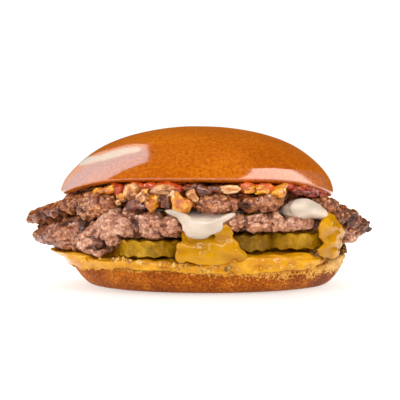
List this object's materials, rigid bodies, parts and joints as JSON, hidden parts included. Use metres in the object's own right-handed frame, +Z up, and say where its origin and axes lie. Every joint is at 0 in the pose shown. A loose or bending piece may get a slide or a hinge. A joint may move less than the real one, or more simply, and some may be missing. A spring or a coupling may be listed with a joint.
{
  "type": "double cheeseburger",
  "caption": "Cheeseburger in a glossy round bun: craggy patties, melted yellow and white cheese, crinkle-cut pickles, fried onions, ketchup and yellow sauce.",
  "frame": {"origin": "on the surface it rests on, under the middle of the burger, on the heel's flat foot", "axes": "+Z up through the layers, +X to the right of the side shown in the picture, along the widest reach of the patties, -Y towards the viewer"},
  "size_m": [0.1395, 0.1218, 0.0625],
  "materials": {
    "crust": "glossy egg-washed baked crust, orange-brown",
    "heel_crust": "matte baked crust, brown-orange, finely speckled",
    "spread": "wet creamy yellow sauce",
    "pickle": "wet olive-yellow pickled cucumber",
    "beef": "craggy fried minced beef, moist",
    "yellow_cheese": "glossy melted cheese, deep yellow",
    "white_cheese": "smooth melted cheese, cream white",
    "onion": "glossy fried onion, golden to dark brown",
    "ketchup": "glossy tomato ketchup, orange-red"
  },
  "bodies": {
    "root": {"heel": "heel_crust", "spread": "spread", "pickle_1": "pickle", "pickle_2": "pickle", "pickle_3": "pickle", "pickle_4": "pickle", "pickle_5": "pickle", "lower_patty": "beef", "yellow_cheese": "yellow_cheese", "white_cheese": "white_cheese", "upper_patty": "beef", "onions": "onion", "ketchup": "ketchup", "crown": "crust"}
  },
  "joints": []
}
